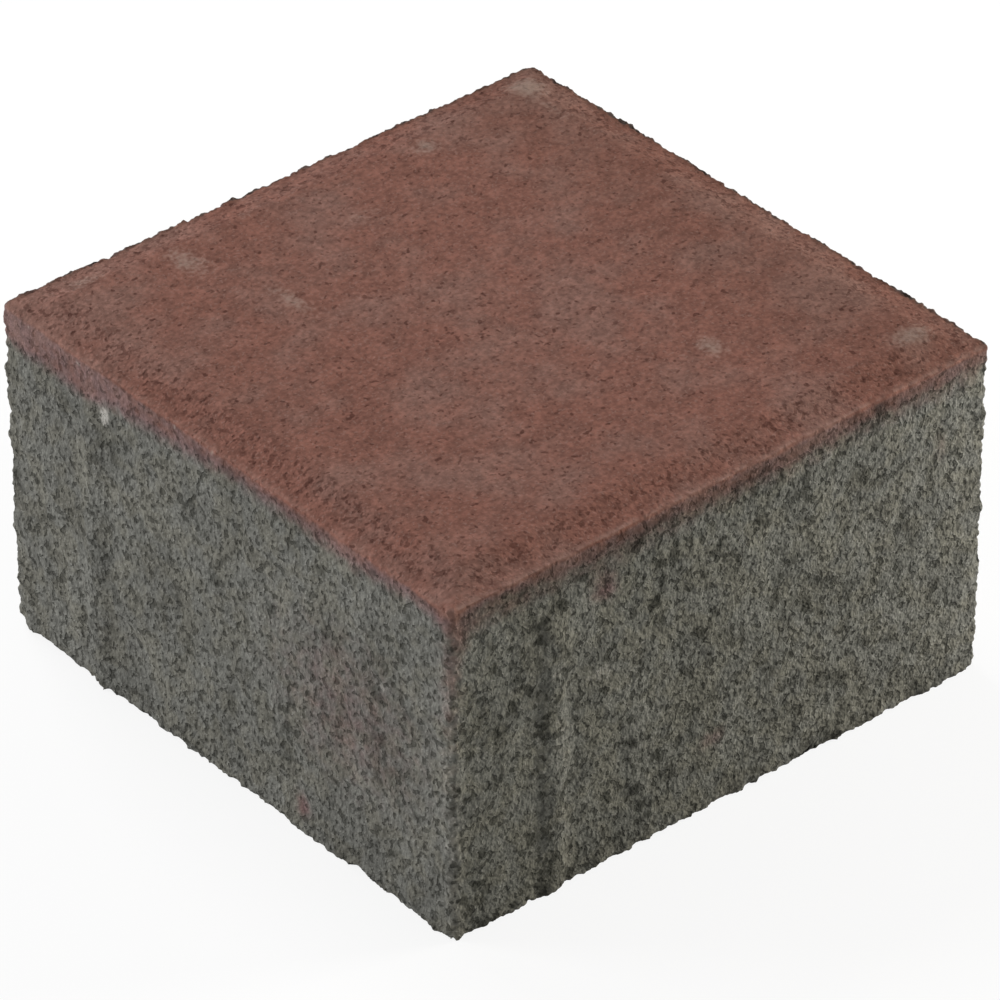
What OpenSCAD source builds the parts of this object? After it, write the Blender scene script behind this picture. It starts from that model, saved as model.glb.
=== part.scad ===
// Square concrete paving stone, pressed in two layers: a red-brown face mix with a wide,
// shallow chamfer, on a grey base concrete with one spacer rib on each of its four sides.
// The origin is at the middle of the underside, +Z is up, and lengths are millimetres.

/* [Stone] */
// Width of the square stone from side to side, without the spacer ribs
stone_w = 138; // [90:1:240]
// Height of the stone from its underside to its top face
stone_h = 80; // [50:1:120]
// Radius of the four upright corners
corner_r = 1.5; // [0.5:0.5:8]

/* [Top chamfer] */
// Width of the chamfer round the top face, seen from above
chamfer_w = 8.8; // [3:0.1:14]
// Drop of the chamfer from the top face to the outer arris
chamfer_h = 2.1; // [0.8:0.1:6]

/* [Face layer] */
// Thickness of the red-brown face mix, measured down from the top face
face_t = 6; // [4:0.5:15]

/* [Spacer ribs] */
// Width of a rib where it leaves the side
rib_w = 7.5; // [5:0.5:24]
// How far a rib stands out from the side
rib_proud = 1; // [0.5:0.1:4]
// Distance from the left end of the -Y and +Y sides, seen from outside, to the middle of the rib
rib_inset_y = 25; // [16:0.5:45]
// The same distance on the -X and +X sides
rib_inset_x = 28.5; // [16:0.5:45]
// Distance from the face mix down to the upper end of a rib
rib_drop = 8; // [2:0.5:20]
// Length over which a rib slopes back into the side at its upper end
rib_fade = 10; // [3:0.5:15]

/* [Hidden] */
$fn = 96;

half_w = stone_w / 2;
flat_half = half_w - chamfer_w;
seam_z = stone_h - face_t;
rib_top = seam_z - rib_drop;
rib_r = (pow(rib_w / 2, 2) + pow(rib_proud, 2)) / (2 * rib_proud);

// Outline of the stone seen from above, with its upright corners rounded
module plan_outline() {
    straight = stone_w - 2 * corner_r;
    square([stone_w, straight], center = true);
    square([straight, stone_w], center = true);
    for (sx = [-1, 1], sy = [-1, 1])
        translate([sx, sy] * straight / 2)
            circle(r = corner_r);
}

// Gable whose two slopes are the chamfers along a pair of opposite sides. It runs on past the
// sides by one chamfer width, and its ridge stands above the top face, so only slopes cut.
module chamfer_gable() {
    reach = half_w + chamfer_w;
    eaves_z = stone_h - 2 * chamfer_h;
    ridge_z = stone_h + chamfer_h * flat_half / chamfer_w;
    rotate([90, 0, 0])
        linear_extrude(height = 2 * reach, center = true)
            polygon([[-reach, -chamfer_w], [reach, -chamfer_w], [reach, eaves_z], [0, ridge_z],
                     [-reach, eaves_z]]);
}

// The stone between two heights: the plan outline under two crossing gables, which meet in
// mitred corners
module stone_slice(low_z, high_z) {
    intersection() {
        translate([0, 0, low_z])
            linear_extrude(height = high_z - low_z)
                plan_outline();
        chamfer_gable();
        rotate([0, 0, 90])
            chamfer_gable();
    }
}

// One spacer rib on a side that lies along X and faces -Y: a round-backed bar from the underside
// up, cut by a sloping plane at its upper end and rooted in the stone by its own projection
module spacer_rib() {
    intersection() {
        translate([0, rib_r - rib_proud, 0])
            cylinder(r = rib_r, h = rib_top);
        rotate([90, 0, 90])
            linear_extrude(height = 2 * rib_w, center = true)
                polygon([[rib_proud, 0], [-2 * rib_proud, 0],
                         [-2 * rib_proud, rib_top - 2 * rib_fade], [0, rib_top],
                         [rib_proud, rib_top]]);
    }
}

module face_layer() {
    color("#8a5f52")
        stone_slice(seam_z, stone_h);
}

module base_block() {
    color("#6c6a64")
        union() {
            stone_slice(0, seam_z);
            for (side = [0 : 3])
                rotate([0, 0, 90 * side])
                    translate([(side % 2 == 0 ? rib_inset_y : rib_inset_x) - half_w, -half_w, 0])
                        spacer_rib();
        }
}

face_layer();
base_block();
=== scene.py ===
# %% [markdown]
# A red and grey concrete paving stone
#
# The real stone is pressed in a steel mould in two fills: a coarse grey base concrete, and a thin,
# fine, red-brown face mix on top. It drops out of the mould as one damp block with ragged lower
# edges, and the press leaves a shallow chamfer round the top. This lesson models the block as one
# body, roughens it, cuts it where the two fills meet, and then mixes one concrete for both pieces.

# %% Load the measured stone
import math

import bpy
import numpy as np
from mathutils import Matrix, Quaternion, Vector


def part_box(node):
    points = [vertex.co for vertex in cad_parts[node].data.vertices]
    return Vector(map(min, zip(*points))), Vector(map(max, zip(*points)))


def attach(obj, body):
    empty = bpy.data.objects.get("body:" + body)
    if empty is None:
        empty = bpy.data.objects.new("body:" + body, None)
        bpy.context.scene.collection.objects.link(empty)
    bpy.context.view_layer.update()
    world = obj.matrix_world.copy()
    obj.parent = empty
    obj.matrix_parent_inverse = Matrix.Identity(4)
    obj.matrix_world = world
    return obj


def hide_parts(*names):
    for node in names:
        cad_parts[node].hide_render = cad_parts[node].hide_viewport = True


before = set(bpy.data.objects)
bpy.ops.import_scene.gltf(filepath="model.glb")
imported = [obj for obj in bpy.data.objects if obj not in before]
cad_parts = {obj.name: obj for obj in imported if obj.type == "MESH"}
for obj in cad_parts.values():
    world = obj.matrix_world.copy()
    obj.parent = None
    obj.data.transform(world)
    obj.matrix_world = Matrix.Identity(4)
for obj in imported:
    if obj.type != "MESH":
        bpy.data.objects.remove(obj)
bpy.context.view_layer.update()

# %% [markdown]
# Sizes come from the loaded frame where its boxes tell them. The chamfer, the rounded corners and
# the ribs can't be read from a box, so their sizes are written here again, in millimetres.

# %% Sizes of the stone
MM = 0.001
face_low, face_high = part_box("face_layer")
base_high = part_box("base_block")[1]
HALF = face_high.x
TOP_Z = face_high.z
SEAM_Z = face_low.z
RIB_PROUD = base_high.x - HALF
CHAMFER_W = 8.8 * MM
CHAMFER_H = 2.1 * MM
CORNER_R = 1.5 * MM
RIB_W = 7.5 * MM
RIB_INSET_Y = 25 * MM
RIB_INSET_X = 28.5 * MM
RIB_DROP = 8 * MM
RIB_FADE = 10 * MM
ARRIS_Z = TOP_Z - CHAMFER_H
RIB_TOP = SEAM_Z - RIB_DROP
print(f"stone {2 * HALF / MM:.0f} mm wide, arris at {ARRIS_Z / MM:.1f} mm, "
      f"seam at {SEAM_Z / MM:.1f} mm")

# %% [markdown]
# The camera comes first, because the view decides how fine the surface has to be. A long lens far
# away keeps the stone's edges nearly parallel, as a catalogue picture does. The aim is a little off
# the stone's middle, so the stone sits in the frame as it does in the picture.

# %% Camera at the picture's angle
CAMERA_AZIMUTH = math.radians(-40.23)
CAMERA_ELEVATION = math.radians(34.98)
CAMERA_ROLL = math.radians(-0.19)
CAMERA_DISTANCE = 1.4135
CAMERA_LENS = 254.8
AIM_RIGHT = 1.22 * MM
AIM_DOWN = 2.8 * MM

stone_middle = Vector((0, 0, ARRIS_Z / 2))
back = Vector((math.sin(CAMERA_AZIMUTH) * math.cos(CAMERA_ELEVATION),
               -math.cos(CAMERA_AZIMUTH) * math.cos(CAMERA_ELEVATION),
               math.sin(CAMERA_ELEVATION)))
right = Vector((0, 0, 1)).cross(back).normalized()
above = back.cross(right)
camera_place = stone_middle + CAMERA_DISTANCE * back
aim = stone_middle + AIM_RIGHT * right - AIM_DOWN * above

bpy.ops.object.select_all(action="DESELECT")
bpy.ops.object.camera_add(location=camera_place)
camera = bpy.context.object
camera.data.lens = CAMERA_LENS
camera.data.clip_end = 20
camera.rotation_mode = "QUATERNION"
turn_to_aim = (aim - camera_place).to_track_quat("-Z", "Y")
camera.rotation_quaternion = turn_to_aim @ Quaternion((0, 0, 1), CAMERA_ROLL)
bpy.context.scene.camera = camera
print("camera at", [round(v, 3) for v in camera_place])

# %% [markdown]
# Operators act on whatever is selected, so three small helpers leave nothing to chance. The first
# makes an object the only selected one, the second opens it in edit mode with chosen faces or edges
# selected, and the third adds a modifier and applies it.

# %% Selection helpers
def only(obj):
    """Makes obj the one selected and active object, in object mode."""
    if bpy.context.object and bpy.context.object.mode != "OBJECT":
        bpy.ops.object.mode_set(mode="OBJECT")
    bpy.ops.object.select_all(action="DESELECT")
    obj.select_set(True)
    bpy.context.view_layer.objects.active = obj


def edit_with(obj, parts, test):
    """Opens obj in edit mode with the "edges" or "polygons" selected that pass the test."""
    only(obj)
    mesh = obj.data
    for family in (mesh.vertices, mesh.edges, mesh.polygons):
        family.foreach_set("select", np.zeros(len(family), dtype=bool))
    family = getattr(mesh, parts)
    chosen = np.array([bool(test(part)) for part in family])
    family.foreach_set("select", chosen)
    bpy.context.tool_settings.mesh_select_mode = (False, parts == "edges", parts == "polygons")
    bpy.ops.object.mode_set(mode="EDIT")
    return int(chosen.sum())


def apply_modifier(obj, kind, name, **settings):
    """Adds a modifier with these settings and applies it."""
    only(obj)
    modifier = obj.modifiers.new(name, kind)
    for key, value in settings.items():
        setattr(modifier, key, value)
    bpy.ops.object.modifier_apply(modifier=name)

# %% [markdown]
# The block starts as a cube of the stone's size up to the arris, which is the sharp outer edge of
# the chamfer. Insetting the top face and lifting it makes the chamfer with mitred corners. The
# four upright edges are then bevelled, because a mould never has sharp inside corners.

# %% Block with its chamfer and rounded corners
bpy.ops.object.select_all(action="DESELECT")
bpy.ops.mesh.primitive_cube_add(size=1, location=(0, 0, ARRIS_Z / 2))
stone = bpy.context.object
stone.name = "stone"
stone.scale = (2 * HALF, 2 * HALF, ARRIS_Z)
bpy.ops.object.transform_apply(location=True, rotation=True, scale=True)

edit_with(stone, "polygons", lambda face: face.normal.z > 0.9)
bpy.ops.mesh.inset(thickness=CHAMFER_W)
bpy.ops.transform.translate(value=(0, 0, CHAMFER_H))
bpy.ops.object.mode_set(mode="OBJECT")


def is_upright(edge):
    """True for the four edges that run from the underside to the arris."""
    ends = [stone.data.vertices[i].co for i in edge.vertices]
    return abs(ends[0].z - ends[1].z) > ARRIS_Z / 2


uprights = edit_with(stone, "edges", is_upright)
bpy.ops.mesh.bevel(offset=CORNER_R, segments=5, affect="EDGES")
bpy.ops.object.mode_set(mode="OBJECT")
print(f"block: {uprights} upright edges rounded, {len(stone.data.polygons)} faces")

# %% [markdown]
# Each side carries one spacer rib, which keeps the joint open when stones are laid side by side. A
# rib is the sliver of a thick upright cylinder that pokes out of the side, cut off by a slope at
# its upper end. One is modelled, and three copies are turned round the stone. On the X sides the
# ribs stand a little further from the end, so those two copies are slid along before the turn.

# %% Spacer ribs
rib_radius = (RIB_W ** 2 / 4 + RIB_PROUD ** 2) / (2 * RIB_PROUD)
rib_middle = Vector((RIB_INSET_Y - HALF, -HALF - RIB_PROUD + rib_radius, RIB_TOP / 2))
bpy.ops.object.select_all(action="DESELECT")
bpy.ops.mesh.primitive_cylinder_add(vertices=160, radius=rib_radius, depth=RIB_TOP,
                                    location=rib_middle)
rib = bpy.context.object
bpy.ops.object.transform_apply(location=True, rotation=True, scale=True)
edit_with(rib, "polygons", lambda face: True)
bpy.ops.mesh.bisect(plane_co=(0, -HALF, RIB_TOP), plane_no=(0, -RIB_FADE, RIB_PROUD),
                    use_fill=True, clear_outer=True)
bpy.ops.object.mode_set(mode="OBJECT")

ribs = [rib]
for quarter in (1, 2, 3):
    copy = rib.copy()
    copy.data = rib.data.copy()
    slide = RIB_INSET_X - RIB_INSET_Y if quarter % 2 else 0
    turn = Matrix.Rotation(quarter * math.pi / 2, 4, "Z")
    copy.data.transform(turn @ Matrix.Translation((slide, 0, 0)))
    bpy.context.collection.objects.link(copy)
    ribs.append(copy)

only(stone)
for copy in ribs:
    copy.select_set(True)
bpy.ops.object.join()
print(f"ribs: {len(ribs)}, each {RIB_W / MM:.1f} mm wide and {RIB_PROUD / MM:.1f} mm proud")

# %% [markdown]
# Concrete needs an even, dense skin before it can be roughened. A voxel remesh melts block and ribs
# into one closed mesh of small squares, and a light smoothing takes the knife edge off the arrises.

# %% Even skin
SKIN = 0.79 * MM
apply_modifier(stone, "REMESH", "even skin", mode="VOXEL", voxel_size=SKIN)
apply_modifier(stone, "SMOOTH", "worn arrises", factor=0.5, iterations=1)
print(f"skin: {len(stone.data.polygons)} faces")

# %% [markdown]
# From here on the mesh is shaped as a sculptor would, by moving its points. The points are read
# into an array, changed together, and written back. The chamfer is dished a little: its slope is
# gentle at the arris and steeper where it meets the flat face.

# %% Dished chamfer
CHAMFER_DISH = 1.3


def read_points(obj):
    """The mesh's points and their normals, as two arrays."""
    count = len(obj.data.vertices)
    points = np.empty(count * 3)
    normals = np.empty(count * 3)
    obj.data.vertices.foreach_get("co", points)
    obj.data.vertices.foreach_get("normal", normals)
    return points.reshape(-1, 3), normals.reshape(-1, 3)


def write_points(obj, points):
    """Puts the points back into the mesh."""
    obj.data.vertices.foreach_set("co", points.ravel())
    obj.data.update()


def smooth_step(low, high, value):
    """0 below low, 1 above high, with a soft rise between."""
    t = np.clip((value - low) / (high - low), 0, 1)
    return t * t * (3 - 2 * t)


points, normals = read_points(stone)
edge_distance = HALF - np.abs(points[:, :2]).max(axis=1)
slope = np.clip(edge_distance / CHAMFER_W, 0, 1)
on_crown = smooth_step(0.6, 0.9, normals[:, 2])
points[:, 2] += on_crown * CHAMFER_H * (slope ** CHAMFER_DISH - slope)
write_points(stone, points)
print(f"dished {int((on_crown * (slope < 1) > 0.5).sum())} points of the chamfer")

# %% [markdown]
# The relief that is large enough to see in outline is real geometry: slow waves from the mould,
# lumps of aggregate, and grit. Displace modifiers push the skin along its normals by procedural
# clouds, and a vertex group tells each one where to act. The face mix is finer than the base. The
# faces along the edges are split first, so that crumbs have enough points. The arrises of the -X
# and -Y sides stay straighter than the other two, as in the picture.

# %% Relief of the skin
ARRIS_BAND = 2.2 * MM
CORNER_BAND = 2.6 * MM
FOOT_BAND = 1.0 * MM
FOOT_HEIGHT = 2.0 * MM
RUBBED_BAND = 4 * MM
RUBBED_CRUMBLE = 0.32
RUBBED_CALM = 0.65
WEIGHT_STEPS = 20
# Each kind of relief: its name, grain size and height in millimetres, and vertex group
RELIEF = [
    ("side waves", 14, 0.50, "sides"), ("side lumps", 5.0, 0.80, "sides"),
    ("side grit", 2.6, 0.70, "sides"), ("crown waves", 16, 0.35, "crown"),
    ("crown grit", 3.0, 0.25, "crown"), ("crumbled arrises", 2.4, 0.90, "arrises"),
    ("ragged foot", 3.2, 1.60, "foot"), ("edge crumbs", 1.1, 1.00, "crumbs")]


def weigh(obj, name, weights):
    """Makes a vertex group from an array of weights, rounded to a number of steps."""
    group = obj.vertex_groups.new(name=name)
    steps = np.round(np.clip(weights, 0, 1) * WEIGHT_STEPS).astype(int)
    for step in range(1, WEIGHT_STEPS + 1):
        members = np.nonzero(steps == step)[0].tolist()
        if members:
            group.add(members, step / WEIGHT_STEPS, "REPLACE")


def roughen(obj, name, grain, height, group):
    """Displaces the skin by clouds of this grain size; height is from lowest to highest."""
    clouds = bpy.data.textures.new(name, "CLOUDS")
    clouds.noise_scale = grain
    clouds.noise_depth = 0
    clouds.noise_basis = "IMPROVED_PERLIN"
    apply_modifier(obj, "DISPLACE", name, texture=clouds, texture_coords="LOCAL", strength=height,
                   mid_level=0.5, vertex_group=group)


def on_edge(face):
    """True for faces close to the arrises, the upright corners or the foot."""
    reach = sorted((HALF - abs(face.center.x), HALF - abs(face.center.y)))
    below_top = TOP_Z - face.center.z
    by_arris = reach[0] < ARRIS_BAND and below_top < CHAMFER_H + ARRIS_BAND
    by_corner = reach[1] < CORNER_BAND
    by_foot = reach[0] < FOOT_BAND and face.center.z < FOOT_HEIGHT
    return by_arris or by_corner or by_foot


split = edit_with(stone, "polygons", on_edge)
bpy.ops.mesh.subdivide(number_cuts=1)
bpy.ops.object.mode_set(mode="OBJECT")
print(f"edges: {split} faces split in four for finer crumbs")

points, normals = read_points(stone)
edge_distance = HALF - np.abs(points[:, :2]).max(axis=1)
far_distance = HALF - np.abs(points[:, :2]).min(axis=1)
underside = smooth_step(0.5, 0.9, -normals[:, 2])
crown = smooth_step(0.5, 0.9, normals[:, 2])
near_arris = smooth_step(2.5 * MM, 0.5 * MM, np.hypot(edge_distance, points[:, 2] - ARRIS_Z))
rubbed = np.minimum(HALF + points[:, 0], HALF + points[:, 1]) < RUBBED_BAND
near_arris *= np.where(rubbed, RUBBED_CRUMBLE, 1.0)
near_corner = smooth_step(2.4 * MM, 1.0 * MM, far_distance)
near_foot = smooth_step(5 * MM, 0, points[:, 2]) * smooth_step(5 * MM, 0, edge_distance)
calm = np.where(rubbed, RUBBED_CALM, 0.0) * smooth_step(7 * MM, 1 * MM, ARRIS_Z - points[:, 2])
weigh(stone, "sides", (1 - crown - underside) * (1 - calm))
weigh(stone, "crown", crown)
weigh(stone, "arrises", near_arris)
weigh(stone, "foot", near_foot)
weigh(stone, "crumbs", np.maximum(near_arris, np.maximum(near_corner, near_foot)))
for name, grain, height, group in RELIEF:
    roughen(stone, name, grain * MM, height * MM, group)
print("relief on", ", ".join(group.name for group in stone.vertex_groups))

# %% [markdown]
# Edges chip. A chip is a scoop: every point inside a small ball is pushed out to the ball's skin,
# as if a ball had been pressed into the edge. Small scoops are scattered along the top and bottom
# edges from a fixed seed, and the damage that the picture shows is placed one by one: two notches
# and a run of small bites in the foot, a bite in one upright edge, and a chip off each top corner.

# %% Chipped edges
CORNER_CHIP = 6 * MM
CORNER_BITES = (0.9, 0.5, 1.3, 0.6)
NEAR_ARRIS_BITE = 0.15 * MM
FAR_ARRIS_BITE = 0.35 * MM
# Side, place along it from 0 to 1, and height, distance out and radius in millimetres
PLACED_CHIPS = [(0, 0.795, -2.5, 2.0, 5.0), (0, 0.0, -1.5, 1.0, 4.5), (1, 1.0, 27, 1.2, 2.6)]
PLACED_CHIPS += [(0, along, -5.0, 4.0, 7.2) for along in np.linspace(0.06, 0.13, 5)]
dice = np.random.default_rng(7)


def scoop(points, centre, radius):
    """Pushes the points inside a ball out to its surface."""
    offset = points - centre
    distance = np.linalg.norm(offset, axis=1)
    inside = (distance < radius) & (distance > 1e-9)
    points[inside] = centre + offset[inside] * (radius / distance[inside])[:, None]
    return int(inside.sum())


def side_point(side, along, height, out=0.0):
    """A point on a side: 0 is -X, 1 -Y, 2 +X, 3 +Y; along runs left to right, seen from outside."""
    across = (2 * along - 1) * HALF
    turned = Matrix.Rotation((side - 1) * math.pi / 2, 3, "Z") @ Vector((across, -HALF - out, 0))
    return np.array((turned.x, turned.y, height))


def chip_edge(points, side, height, count, radius_range, bite_range, lean):
    """Scatters scoops along one edge; lean is how far their centres stand above or below it."""
    for along in dice.uniform(0.01, 0.99, count):
        radius = dice.uniform(*radius_range)
        bite = dice.uniform(*bite_range)
        tilt = math.radians(dice.uniform(20, 70))
        reach = radius - bite
        lift = lean * reach * math.sin(tilt)
        scoop(points, side_point(side, along, height + lift, reach * math.cos(tilt)), radius)


points = read_points(stone)[0]
for side in range(4):
    chip_edge(points, side, height=0, count=60, radius_range=(1.2 * MM, 3.5 * MM),
              bite_range=(0.2 * MM, 0.8 * MM), lean=-1)
    deepest = NEAR_ARRIS_BITE if side < 2 else FAR_ARRIS_BITE
    chip_edge(points, side, height=ARRIS_Z, count=50, radius_range=(0.8 * MM, 1.8 * MM),
              bite_range=(0.1 * MM, deepest), lean=1)

for side, along, height, out, radius in PLACED_CHIPS:
    scoop(points, side_point(side, along, height * MM, out * MM), radius * MM)
for quarter, bite in enumerate(CORNER_BITES):
    corner = Matrix.Rotation(quarter * math.pi / 2, 3, "Z") @ Vector((-HALF, -HALF, ARRIS_Z))
    outward = Vector((corner.x, corner.y, HALF * 0.5)).normalized()
    scoop(points, np.array(corner + outward * (CORNER_CHIP - bite * MM)), CORNER_CHIP)
points[:, 2] = np.clip(points[:, 2], 0, None)
write_points(stone, points)
print("chipped all four sides, above and below")

# %% [markdown]
# The block is now cut where the two fills meet. Both pieces are copies of the same skin, each with
# the other half cut away and the cut closed, so their edges match point for point. The underside is
# thinned, because its flat middle needs few faces.

# %% Cut into face layer and base block
def cut_layer(name, keep_above):
    """A copy of the stone on one side of the seam, closed by a flat face there."""
    piece = stone.copy()
    piece.data = stone.data.copy()
    piece.name = name
    piece.data.name = name
    bpy.context.collection.objects.link(piece)
    piece.vertex_groups.clear()
    edit_with(piece, "polygons", lambda face: True)
    bpy.ops.mesh.bisect(plane_co=(0, 0, SEAM_Z), plane_no=(0, 0, 1), use_fill=True,
                        clear_inner=keep_above, clear_outer=not keep_above)
    bpy.ops.object.mode_set(mode="OBJECT")
    return piece


UNDERSIDE_RIM = 6 * MM
UNDERSIDE_KEPT = 0.12
face_piece = cut_layer("red_face_layer", True)
base_piece = cut_layer("grey_base_block", False)
bpy.data.objects.remove(stone)


def in_underside(face):
    """True for the flat middle of the underside."""
    reach = max(abs(face.center.x), abs(face.center.y))
    return face.normal.z < -0.9 and reach < HALF - UNDERSIDE_RIM and face.center.z < 1 * MM


edit_with(base_piece, "polygons", in_underside)
bpy.ops.mesh.decimate(ratio=UNDERSIDE_KEPT)
bpy.ops.object.mode_set(mode="OBJECT")
for piece in (face_piece, base_piece):
    only(piece)
    bpy.ops.object.shade_smooth_by_angle(angle=math.radians(60))
    triangles = sum(len(face.vertices) - 2 for face in piece.data.polygons)
    print(f"{piece.name}: {triangles} triangles")

# %% [markdown]
# Where colour goes is painted onto the points as named attributes, each from 0 to 1. The red mix
# smears down the sides to a depth that changes round the stone, so its edge is a curve over the
# distance walked round the four sides. Below the arris the smear is thin and grey shows through,
# and on the -Y side a faint tail of it runs on. At the +X and +Y arrises a little grey shows.

# %% Painted edge of the face mix
SMEAR = 6.0
THIN_SMEAR = 0.57
TAIL = 0.36
BARE_FAR_RIM = 0.5
# Distance walked in sides, and depth of the red edge below the arris in millimetres
LAYER_EDGE = np.array([
    (0.00, 9.0), (0.10, 9.2), (0.20, 9.8), (0.27, 7.4), (0.38, 6.6), (0.50, 4.6), (0.68, 4.2),
    (0.80, 4.6), (0.92, 3.4), (1.00, 3.2), (1.06, 2.6), (1.20, 5.4), (1.38, 4.7), (1.56, 6.0),
    (1.80, 5.0), (1.90, 5.4), (2.00, 4.6), (2.30, 4.6), (2.60, 3.0), (2.85, 5.2), (3.00, 4.4),
    (3.30, 3.0), (3.60, 5.6), (3.85, 8.0), (4.00, 9.0)])
# Centre and half-widths in millimetres, and strength
SIDE_STAINS = [
    ((-69, -69, 67), (5, 5, 17), 0.28), ((-69, -23.5, 6.5), (3, 3.0, 4.0), 0.40),
    ((-2.8, -69, 16.8), (4.5, 3, 3.0), 0.42), ((-31.0, -69, 65.5), (5.0, 3, 4.0), 0.45),
    ((56.6, -69, 60.0), (3.0, 3, 6.0), 0.28), ((-69, 30, 20), (3, 14, 14), 0.12),
    ((-69, -38, 38), (3, 32, 26), 0.34)]


def walk_round(points):
    """Distance round the stone in sides: 0 to 1 along -X, 1 to 2 along -Y, then +X and +Y."""
    x, y = points[:, 0] / HALF, points[:, 1] / HALF
    on_x = np.abs(x) > np.abs(y)
    along = np.where(on_x, np.where(x < 0, -y, y), np.where(y < 0, x, -x))
    side = np.where(on_x, np.where(x < 0, 0, 2), np.where(y < 0, 1, 3))
    return side + np.clip((along + 1) / 2, 0, 1)


def spot(points, centre, size):
    """A soft spot, 1 at its centre; centre and half-widths along X, Y and Z are in millimetres."""
    offset = (points / MM - np.array(centre)) / np.array(size)
    return np.exp(-(offset ** 2).sum(axis=1))


def rim_distance(points, axis, sign):
    """Distance in millimetres from one side of the stone, measured inwards."""
    return (HALF - sign * points[:, axis]) / MM


def far_rim(points, width):
    """1 at the +X and +Y sides, fading inwards over a width in millimetres."""
    far = np.minimum(rim_distance(points, 0, 1), rim_distance(points, 1, 1))
    return np.exp(-(far / width) ** 2)


def minus_y_side(walked, low, high):
    """1 on the -Y side, which is 1 to 2 in the walk, rising from low to high at its left end."""
    return smooth_step(low, high, walked) * smooth_step(3 - low, 3 - high, walked)


def depth_below_arris(points):
    """Depth below the arris in millimetres."""
    return (ARRIS_Z - points[:, 2]) / MM


def face_mix_mask(points):
    """1 in the red face mix, 0 in the grey base, with a thin smear down the sides between."""
    depth = depth_below_arris(points)
    walked = walk_round(points)
    edge = np.interp(walked, LAYER_EDGE[:, 0], LAYER_EDGE[:, 1])
    smear = np.clip(0.5 + (edge - depth) / SMEAR, 0, 1)
    mask = smear * (1 - (1 - THIN_SMEAR) * smooth_step(-0.6, 1.2, depth))
    mask -= BARE_FAR_RIM * far_rim(points, 0.9) * smooth_step(1, 0, depth)
    tail = smooth_step(12, 4, depth) * smooth_step(0, 1, depth)
    mask = np.maximum(mask, TAIL * minus_y_side(walked, 0.98, 1.04) * tail)
    for centre, size, strength in SIDE_STAINS:
        mask += strength * spot(points, centre, size)
    return np.clip(mask, 0, 1)

# %% [markdown]
# Lime bloom and the -X and -Y arrises are paler than the mix, and painted light brightens the
# upright edge between those sides and a flank of the -Y rib. Dust is darker, and painted shade
# darkens the far arrises, the -Y side just under its arris and, in part, the -Y side towards the
# near corner. These are painted the same way. A bloom is given by its place on the top and its
# half-widths, and a pale stone by its centre and half-widths, all in millimetres. The last number
# is its strength.

# %% Painted bloom, paleness, painted light, dust, painted shade and coarse places
# Strengths of painted shade, dust, a painted rib highlight and paleness; arris widths in
# millimetres
FAR_RIM_SHADE = 0.60
DUST = 0.19
SHADE_UNDER_ARRIS = 0.38
RIB_HIGHLIGHT = 0.5
TIP_PALENESS = 0.4
LIP_X_PALENESS = 0.35
LIP_X_WIDTH = 1.2
LIP_Y_WIDTH = 0.9
# Distance walked in sides, and strength of the near-corner darkening, partly painted shade
NEAR_CORNER_DARKENING = np.array([(1.00, 0.30), (1.35, 0.26), (1.60, 0.18), (1.90, 0.03)])
TOP_BLOOM = [
    (-33.7, 54.3, 3.6, 6.4, 0.75), (29.8, 55.7, 3.4, 2.8, 0.85), (3.6, 44.6, 5.0, 2.4, 0.40),
    (-26.8, 30.1, 2.4, 6.5, 0.60), (25.0, -36.1, 2.6, 4.2, 0.85), (-13.7, 60.5, 3.0, 2.0, 0.35),
    (-53.0, 62.6, 5.0, 2.6, 0.70), (60.8, 60.8, 4.6, 4.6, 1.15), (57.5, -58.5, 5.0, 3.2, 0.95),
    (58.8, 50.0, 1.8, 8.0, 0.40), (-15.0, 20.0, 26, 20, 0.14), (10.0, 0.0, 30, 22, 0.08)]
PALE_STONES = [
    ((-69, 36.3, 67.7), (3, 1.3, 1.7), 2.0), ((-69, -48.3, 49.7), (3, 1.6, 1.4), 0.5),
    ((-31.7, -69, 46.3), (4.6, 3, 2.2), 0.55), ((-44, -69, 52), (2.2, 3, 1.8), 0.4),
    ((-69, 44.0, 76.2), (2, 0.6, 0.6), 0.8), ((-69, 14.0, 77.0), (2, 0.7, 0.5), 0.8),
    ((-69, 2.0, 77.2), (2, 0.5, 0.7), 0.7), ((-69, 60.0, 76.5), (2, 0.6, 0.5), 0.7),
    ((20, -69, 33), (3.0, 3, 2.0), 0.35), ((45, -69, 24), (2.2, 3, 2.6), 0.35)]


def bloom_mask(points):
    """Pale lime bloom in spots on the top face, and bare pale stones in the sides."""
    total = np.zeros(len(points))
    for centre, size, strength in PALE_STONES:
        total += strength * spot(points, centre, size)
    for x, y, half_x, half_y, strength in TOP_BLOOM:
        total += strength * spot(points, (x, y, TOP_Z / MM), (half_x, half_y, 4))
    return np.clip(total, 0, 1)


def paleness_and_painted_light_mask(points, crown):
    """Paler -X, -Y arrises and corner; painted light on the upright edge and a flank of the -Y rib.
    """
    lip_y = np.exp(-(rim_distance(points, 1, -1) / LIP_Y_WIDTH) ** 2)
    lip_x = np.exp(-(rim_distance(points, 0, -1) / LIP_X_WIDTH) ** 2)
    tip = spot(points, (-66, -66, ARRIS_Z / MM), (5, 5, 3))
    # painted light: a paler strip down the upright edge between the -X and -Y sides
    upright = spot(points, (-69, -69, 40), (2.2, 2.2, 60))
    # painted highlight on one flank of the -Y rib
    rib = spot(points, (-41, -70, 20), (2.2, 3, 38))
    on_top = lip_y + LIP_X_PALENESS * lip_x + TIP_PALENESS * tip
    return np.clip(crown * on_top + (1 - crown) * (upright + RIB_HIGHLIGHT * rib), 0, 1)


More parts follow.
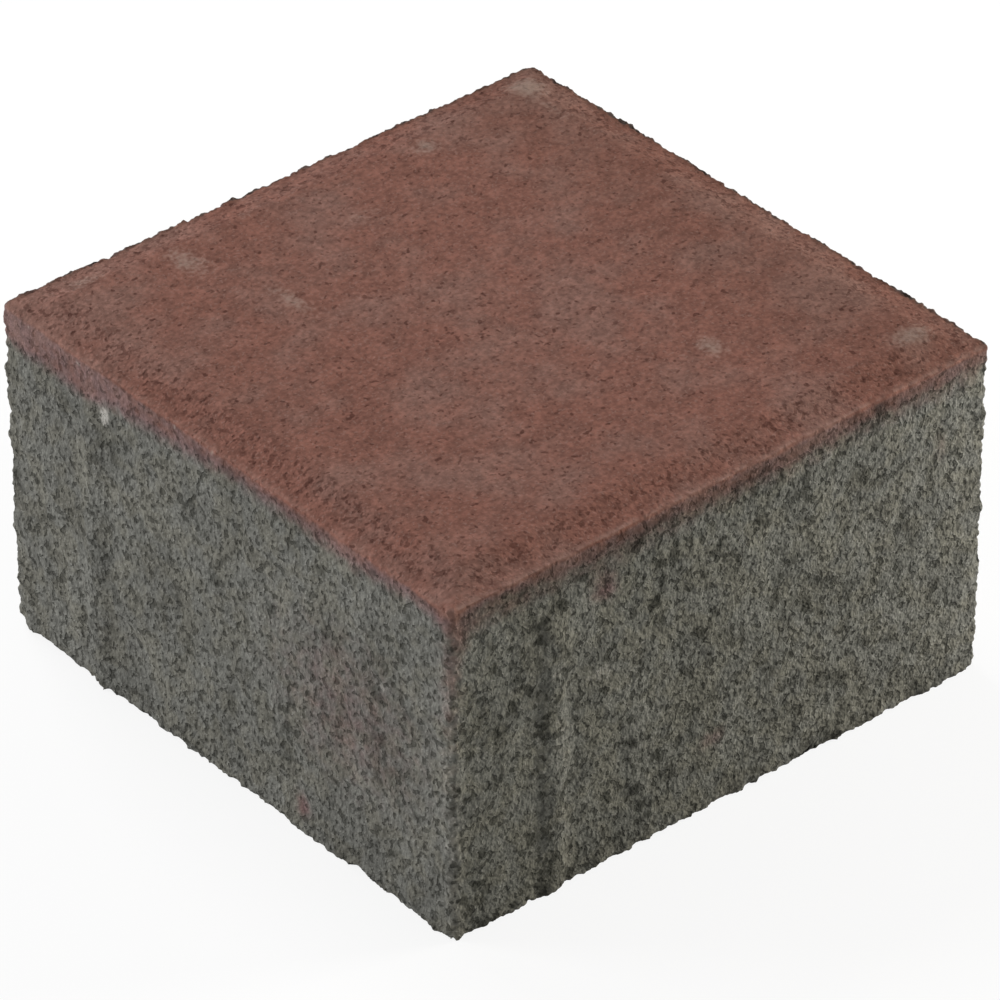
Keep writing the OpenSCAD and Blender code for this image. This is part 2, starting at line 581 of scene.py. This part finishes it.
def dust_and_shade_mask(points, crown):
    """Dust to +X, and painted shade: far arrises, under the -Y arris, partly at -Y's near end."""
    walked = walk_round(points)
    depth = depth_below_arris(points)
    # partly painted shade: the -Y side darkens towards its near corner
    near_corner_darkening = np.interp(walked, NEAR_CORNER_DARKENING[:, 0], NEAR_CORNER_DARKENING[:, 1])
    # painted shade just under the -Y arris
    band = SHADE_UNDER_ARRIS * smooth_step(0.3, 2.0, depth) * smooth_step(7.5, 4.0, depth)
    dust = DUST * smooth_step(25, 55, points[:, 0] / MM)
    # painted shade along the far arrises, and dust towards +X on the top
    on_top = FAR_RIM_SHADE * far_rim(points, 1.5) + dust
    on_side = minus_y_side(walked, 0.97, 1.03) * (near_corner_darkening + band)
    return np.clip(crown * on_top + (1 - crown) * on_side, 0, 1)


def coarse_mask(points, crown):
    """Pits in the chamfer, where the press never closed the mix, most of them at its inner edge."""
    inset = (HALF - np.abs(points[:, :2]).max(axis=1)) / MM
    return crown * smooth_step(0.5, 4.0, inset) * smooth_step(11.0, 7.0, inset)


def paint(obj, name, values):
    """Stores one number for each point under this name."""
    layer = obj.data.attributes.new(name, "FLOAT", "POINT")
    layer.data.foreach_set("value", values.astype(np.float32))


MASKS = ("face_mix", "bloom", "paleness_and_painted_light", "dust_and_shade", "coarse")
for piece in (face_piece, base_piece):
    points, normals = read_points(piece)
    crown = smooth_step(0.5, 0.9, normals[:, 2])
    paint(piece, "face_mix", face_mix_mask(points))
    paint(piece, "bloom", bloom_mask(points))
    paint(piece, "paleness_and_painted_light", paleness_and_painted_light_mask(points, crown))
    paint(piece, "dust_and_shade", dust_and_shade_mask(points, crown))
    paint(piece, "coarse", coarse_mask(points, crown))
print("painted", ", ".join(MASKS))

# %% [markdown]
# Materials are built with a helper that adds a node, sets its values and links its inputs in one
# call. A value that is a socket of another node is linked, and anything else is set.

# %% Node helper
def add(tree, kind, inputs=None, **settings):
    """Adds a node to a tree, sets its settings, and links or sets its inputs."""
    node = tree.nodes.new(kind)
    for key, value in settings.items():
        setattr(node, key, value)
    for key, value in (inputs or {}).items():
        if isinstance(value, bpy.types.NodeSocket):
            tree.links.new(value, node.inputs[key])
        else:
            node.inputs[key].default_value = value
    return node


def math_node(tree, operation, first, second=0.0, third=0.0):
    """A Math node's result."""
    node = add(tree, "ShaderNodeMath", {0: first, 1: second, 2: third}, operation=operation)
    return node.outputs[0]


def scaled(tree, value, factor):
    """A value times a factor."""
    return math_node(tree, "MULTIPLY", value, factor)


def vector_node(tree, operation, first, second):
    """A Vector Math node, whose result is its first output, or Value for a dot product."""
    return add(tree, "ShaderNodeVectorMath", {0: first, 1: second}, operation=operation)


def spread(tree, value, low, high, to_low=0.0, to_high=1.0):
    """Maps value from low..high to to_low..to_high with a soft step."""
    ends = {"From Min": low, "From Max": high, "To Min": to_low, "To Max": to_high}
    return add(tree, "ShaderNodeMapRange", {"Value": value, **ends},
               interpolation_type="SMOOTHSTEP").outputs["Result"]


def blend_colour(tree, factor, first, second, way="MIX"):
    """Mixes two colours."""
    return add(tree, "ShaderNodeMix", {0: factor, 6: first, 7: second}, data_type="RGBA",
               blend_type=way).outputs[2]


def toned(tree, colour, value):
    """A colour made lighter or darker by a value."""
    node = add(tree, "ShaderNodeHueSaturation", {"Color": colour, "Value": value})
    return node.outputs["Color"]


def new_group(name, inputs, outputs):
    """A shader node group with float or vector inputs and outputs."""
    group = bpy.data.node_groups.new(name, "ShaderNodeTree")
    for socket, kind in inputs.items():
        group.interface.new_socket(socket, in_out="INPUT", socket_type=kind)
    for socket, kind in outputs.items():
        group.interface.new_socket(socket, in_out="OUTPUT", socket_type=kind)
    return group, group.nodes.new("NodeGroupInput"), group.nodes.new("NodeGroupOutput")

# %% [markdown]
# Pressed concrete is sand grains in cement with small voids between them. The grit group makes
# this at any grain size from three noises: the cement's uneven tone, voids where the mix didn't
# close, and specks of bare sand. It also gives a height, so that the same grains catch the light.
# Softness sets how gently a void's edge fades.

# %% Grit group
VECTOR = "NodeSocketVector"
FLOAT = "NodeSocketFloat"
ELSEWHERE = (0.31, 0.17, 0.53)
SPECK_RISE = 0.12
VOID_SINK = 0.35


def noise(tree, place, scale, detail=0.0, roughness=0.5):
    """A noise texture's value, from 0 to 1."""
    settings = {"Vector": place, "Scale": scale, "Detail": detail, "Roughness": roughness}
    return add(tree, "ShaderNodeTexNoise", settings).outputs["Fac"]


def make_grit():
    """Tone, voids, specks and height of sandy concrete at a grain size given in metres."""
    tree, given, made = new_group(
        "sand and voids", {"Vector": VECTOR, "Grain": FLOAT, "Voids": FLOAT, "Softness": FLOAT},
        {"Tone": FLOAT, "Void": FLOAT, "Speck": FLOAT, "Height": FLOAT})
    place = given.outputs["Vector"]
    per_metre = math_node(tree, "DIVIDE", 1.0, given.outputs["Grain"])
    cement = noise(tree, place, per_metre, detail=1.4)
    elsewhere = vector_node(tree, "ADD", place, ELSEWHERE).outputs[0]
    open_mix = noise(tree, elsewhere, scaled(tree, per_metre, 0.8), detail=1.2)
    sand = noise(tree, elsewhere, scaled(tree, per_metre, 1.9))
    lumps = noise(tree, elsewhere, scaled(tree, per_metre, 1.1), detail=1.0)
    void_top = given.outputs["Voids"]
    void_floor = math_node(tree, "SUBTRACT", void_top, given.outputs["Softness"])
    void = math_node(tree, "SUBTRACT", 1.0, spread(tree, open_mix, void_floor, void_top))
    speck = spread(tree, sand, 0.60, 0.78)
    height = math_node(tree, "ADD", lumps, scaled(tree, speck, SPECK_RISE))
    height = math_node(tree, "SUBTRACT", height, scaled(tree, void, VOID_SINK))
    for value, socket in ((cement, "Tone"), (void, "Void"), (speck, "Speck"), (height, "Height")):
        tree.links.new(value, made.inputs[socket])
    return tree


grit = make_grit()
print(f"grit group with {len(grit.nodes)} nodes")

# %% [markdown]
# One concrete serves both pieces, so nothing changes at the cut: the grey base and the red face mix
# are both made in each material, and the painted edge, broken up by noise, decides which shows.
# The two tints and the dust and painted shade are multiplied onto the colour below them, so its
# grain stays, and the other colours are the paste and sand of a mix, with painted shade in voids.
#
# Grains stand out of a real side and look round even at a slant. A flat pattern doesn't, so the
# grain is drawn out a little along one fixed diagonal of the stone, which leans to -X, -Y and up.

# %% Two-layer concrete
GREY = (0.159, 0.158, 0.142, 1)
GREY_WARM = (0.161, 0.156, 0.132, 1)
GREY_SAND = (0.290, 0.285, 0.260, 1)
MAUVE_TINT = (1.10, 0.72, 0.77, 1)
# painted shade: near-black colour of the voids and cavities in the grey
GREY_VOID_SHADE = (0.030, 0.030, 0.024, 1)
RED = (0.222, 0.100, 0.0755, 1)
RED_PALE = (0.234, 0.124, 0.099, 1)
RED_SAND = (0.300, 0.180, 0.150, 1)
# painted shade: near-black colour of the voids, pits and holes in the red
RED_VOID_SHADE = (0.062, 0.020, 0.014, 1)
BLOOM = (0.335, 0.245, 0.205, 1)
STONE = (0.520, 0.500, 0.460, 1)
# paler colours for the pale arrises and for painted light
LIGHTENED_RED = (0.330, 0.200, 0.165, 1)
LIGHTENING_TINT = (1.75, 1.72, 1.72, 1)
# multiplied on for dust and for painted shade
DUST_AND_SHADE = (0.42, 0.42, 0.34, 1)
GRAIN_RUN = Vector((-1, -1, 1)).normalized()
DRAWN_OUT = 0.22
COARSE_GRAIN = 1.15 * MM
FINE_GRAIN = 1.0 * MM
COARSE_RELIEF = 0.85 * MM
FINE_RELIEF = 0.25 * MM
# Noise scales, in waves for each metre
PATCH_SCALE = 70.0
HUE_SCALE = 190.0
RAGGED_SCALE = 420.0
CAVITY_SCALE = 300.0
MOTTLE_SCALE = 280.0
HOLE_SCALE = 620.0
# Shares of one colour or pattern in another
SAND_SHARE = 0.45
HOLE_SHARE = 0.7
PIT_SHARE = 0.55
RAGGED_SHARE = 0.26
FLAKE_SHARE = 1.3


def sandy_colour(tree, grit_node, paste, sand, void, contrast, void_shading):
    """The colour of one mix: paste varied in tone, sand specks, and painted shade in voids."""
    value = spread(tree, grit_node.outputs["Tone"], 0.25, 0.75, 1 - contrast, 1 + contrast)
    colour = toned(tree, paste, value)
    colour = blend_colour(tree, scaled(tree, grit_node.outputs["Speck"], SAND_SHARE), colour, sand)
    return blend_colour(tree, scaled(tree, grit_node.outputs["Void"], void_shading), colour, void)


def drawn_out_place(tree, place):
    """The place, squeezed along the run of the grain, so that patterns on it come out longer."""
    run = tuple(GRAIN_RUN)
    along = vector_node(tree, "DOT_PRODUCT", place, run).outputs["Value"]
    squeeze = add(tree, "ShaderNodeVectorMath",
                  {0: run, "Scale": scaled(tree, along, DRAWN_OUT)}, operation="SCALE")
    return vector_node(tree, "SUBTRACT", place, squeeze.outputs[0]).outputs[0]


def grey_base(tree, place, patch, coarse, dust_and_shade):
    """The grey base's colour, with painted shade in cavities that grows with the dust and shade."""
    hue = noise(tree, place, HUE_SCALE, detail=1.5)
    warm = blend_colour(tree, spread(tree, hue, 0.40, 0.62), GREY, GREY_WARM)
    grey = sandy_colour(tree, coarse, warm, GREY_SAND, GREY_VOID_SHADE, contrast=0.23, void_shading=0.60)
    # painted shade: dark cavity spots in the grey, made by colour alone
    cavities = noise(tree, place, CAVITY_SCALE, detail=2.0, roughness=0.55)
    cavity = spread(tree, math_node(tree, "ADD", cavities, scaled(tree, patch, 0.25)), 0.56, 0.46)
    cavity_shading = spread(tree, dust_and_shade, 0.0, 0.3, 0.40, 0.72)
    grey = blend_colour(tree, scaled(tree, cavity, cavity_shading), grey, GREY_VOID_SHADE)
    return toned(tree, grey, spread(tree, patch, 0.32, 0.68, 0.89, 1.09))


def red_mix(tree, place, patch, fine, pits):
    """The red face mix's colour, with painted shade in pits and a sparse scatter of dark holes."""
    rosy = blend_colour(tree, spread(tree, patch, 0.40, 0.70), RED, RED_PALE)
    mottle = noise(tree, place, MOTTLE_SCALE, detail=2.0)
    rosy = toned(tree, rosy, spread(tree, mottle, 0.3, 0.7, 0.88, 1.12))
    red = sandy_colour(tree, fine, rosy, RED_SAND, RED_VOID_SHADE, contrast=0.20, void_shading=0.48)
    # painted shade in a sparse scatter of dark holes
    holes = spread(tree, noise(tree, place, HOLE_SCALE, detail=1.0), 0.33, 0.25)
    pits = math_node(tree, "MAXIMUM", pits, scaled(tree, holes, HOLE_SHARE))
    return blend_colour(tree, pits, red, RED_VOID_SHADE)


def concrete(name):
    """The stone's material: grey base and red face mix in one, told apart by the painted mask."""
    material = bpy.data.materials.new(name)
    material.use_nodes = True
    tree = material.node_tree
    tree.nodes.clear()
    place = add(tree, "ShaderNodeTexCoord").outputs["Object"]
    painted = {key: add(tree, "ShaderNodeAttribute", attribute_name=key).outputs["Fac"]
               for key in MASKS}
    drawn_out = drawn_out_place(tree, place)
    patch = noise(tree, place, PATCH_SCALE, detail=2.0)
    ragged = noise(tree, drawn_out, RAGGED_SCALE, detail=1.5)

    coarse = add(tree, "ShaderNodeGroup", {"Vector": drawn_out, "Grain": COARSE_GRAIN,
                                           "Voids": 0.445, "Softness": 0.09}, node_tree=grit)
    grey = grey_base(tree, drawn_out, patch, coarse, painted["dust_and_shade"])

    fine_voids = math_node(tree, "ADD", scaled(tree, painted["coarse"], 0.03),
                           spread(tree, patch, 0.35, 0.65, 0.37, 0.41))
    fine = add(tree, "ShaderNodeGroup", {"Vector": drawn_out, "Grain": FINE_GRAIN,
                                         "Voids": fine_voids, "Softness": 0.12}, node_tree=grit)
    # painted shade in the pits of the chamfer
    pits = scaled(tree, scaled(tree, coarse.outputs["Void"], painted["coarse"]), PIT_SHARE)
    red = red_mix(tree, drawn_out, patch, fine, pits)

    shift = scaled(tree, math_node(tree, "SUBTRACT", ragged, 0.5), RAGGED_SHARE)
    layer = spread(tree, math_node(tree, "ADD", painted["face_mix"], shift), 0.05, 0.95)
    smear = blend_colour(tree, 1.0, grey, MAUVE_TINT, "MULTIPLY")
    colour = blend_colour(tree, spread(tree, layer, 0.0, 0.55), grey, smear)
    colour = blend_colour(tree, spread(tree, layer, 0.45, 1.0), colour, red)

    # paler colour for the pale arrises, and painted light on the upright edge and a rib flank
    rubbed = blend_colour(tree, 1.0, colour, LIGHTENING_TINT, "MULTIPLY")
    rubbed = blend_colour(tree, layer, rubbed, LIGHTENED_RED)
    worn = scaled(tree, painted["paleness_and_painted_light"], spread(tree, ragged, 0.3, 0.6))
    colour = blend_colour(tree, worn, colour, rubbed)

    pale = blend_colour(tree, layer, STONE, BLOOM)
    uneven = math_node(tree, "SUBTRACT", fine.outputs["Tone"], 0.5)
    flakes = scaled(tree, uneven, FLAKE_SHARE)
    flaky = math_node(tree, "ADD", painted["bloom"], flakes)
    flaky = scaled(tree, spread(tree, flaky, 0.15, 1.15, 0.0, 0.75),
                   spread(tree, painted["bloom"], 0.02, 0.3))
    colour = blend_colour(tree, flaky, colour, pale)
    # dust and painted shade darken the colour
    colour = blend_colour(tree, painted["dust_and_shade"], colour, DUST_AND_SHADE, "MULTIPLY")

    fine_height = scaled(tree, fine.outputs["Height"], FINE_RELIEF)
    coarse_height = scaled(tree, coarse.outputs["Height"], COARSE_RELIEF)
    height = add(tree, "ShaderNodeMix", {0: layer, 2: coarse_height, 3: fine_height}).outputs[0]
    bump = add(tree, "ShaderNodeBump", {"Height": height, "Distance": 1.0, "Strength": 1.0})
    surface = add(tree, "ShaderNodeBsdfPrincipled",
                  {"Base Color": colour, "Roughness": 0.95, "Normal": bump.outputs["Normal"],
                   "Specular IOR Level": 0.12})
    add(tree, "ShaderNodeOutputMaterial", {"Surface": surface.outputs["BSDF"]})
    return material


for piece, name in ((face_piece, "red face mix"), (base_piece, "grey base concrete")):
    piece.data.materials.clear()
    piece.data.materials.append(concrete(name))
print("materials:", [material.name for material in bpy.data.materials if material.users])

# %% [markdown]
# Each piece stands for the node that it was modelled on and rides on the stone's one body.

# %% Hand the pieces to the frame
for piece, node, slot in ((face_piece, "face_layer", "face_mix"),
                          (base_piece, "base_block", "base_concrete")):
    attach(piece, "root")
    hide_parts(node)
print("pieces:", face_piece.name, base_piece.name)

# %% [markdown]
# The stage is a pale floor under soft light. The floor glows a little for the camera, so it reads
# as white paper while the stone's shadow stays on it. A wide lamp behind the stone on the left
# is the key, and the sky fills the rest evenly, so that colours render about as they are written.

# %% Floor, light and sky
FLOOR_SIZE = 12
FLOOR_COLOUR = (0.85, 0.85, 0.85, 1)
FLOOR_GLOW = 1.05
GLOW_SHARE = 0.82
SKY_LIGHT = 0.32
WHITE = (1, 1, 1, 1)


def seen_directly(tree):
    """1 for rays from the camera, straight or by way of a mirror or glass, and 0 for light."""
    seen = add(tree, "ShaderNodeLightPath").outputs
    through = math_node(tree, "MAXIMUM", seen["Is Glossy Ray"], seen["Is Transmission Ray"])
    return math_node(tree, "MAXIMUM", seen["Is Camera Ray"], through)


bpy.ops.object.select_all(action="DESELECT")
bpy.ops.mesh.primitive_plane_add(size=FLOOR_SIZE, location=(0, 0, 0))
floor = bpy.context.object
floor.name = "floor"
paper = bpy.data.materials.new("paper")
paper.use_nodes = True
tree = paper.node_tree
tree.nodes.clear()
matt = add(tree, "ShaderNodeBsdfDiffuse", {"Color": FLOOR_COLOUR})
glow = add(tree, "ShaderNodeEmission", {"Color": WHITE, "Strength": FLOOR_GLOW})
mixed = add(tree, "ShaderNodeMixShader", {0: scaled(tree, seen_directly(tree), GLOW_SHARE),
                                          1: matt.outputs[0], 2: glow.outputs[0]})
add(tree, "ShaderNodeOutputMaterial", {"Surface": mixed.outputs[0]})
floor.data.materials.append(paper)

world = bpy.data.worlds.new("sky")
bpy.context.scene.world = world
world.use_nodes = True
tree = world.node_tree
tree.nodes.clear()
strength = spread(tree, seen_directly(tree), 0.0, 1.0, SKY_LIGHT, 1.0)
sky = add(tree, "ShaderNodeBackground", {"Color": WHITE, "Strength": strength})
add(tree, "ShaderNodeOutputWorld", {"Surface": sky.outputs[0]})


def lamp(name, place, size, power, colour=(1, 1, 1)):
    """A square soft light that points at the stone."""
    bpy.ops.object.select_all(action="DESELECT")
    bpy.ops.object.light_add(type="AREA", location=place)
    light = bpy.context.object
    light.name = name
    light.data.size = size
    light.data.energy = power
    light.data.color = colour
    light.rotation_mode = "QUATERNION"
    light.rotation_quaternion = (stone_middle - Vector(place)).to_track_quat("-Z", "Y")


away = Vector((-back.x, -back.y, 0)).normalized()
up = Vector((0, 0, 1))
lamp("key", stone_middle + 0.85 * away - 0.55 * right + 1.15 * up, size=0.5, power=8.0)
lamp("left", (-1.05, 1.15, 0.42), size=0.6, power=16.8, colour=(0.985, 0.99, 1.0))
lamp("right", (0.62, -0.34, 0.17), size=0.25, power=4.8, colour=(1.0, 0.97, 0.89))
print("lamps:", [light.name for light in bpy.data.lights])

# %% [markdown]
# Colours are shown as they are, without a film look.

# %% Finish
bpy.context.scene.view_settings.view_transform = "Standard"
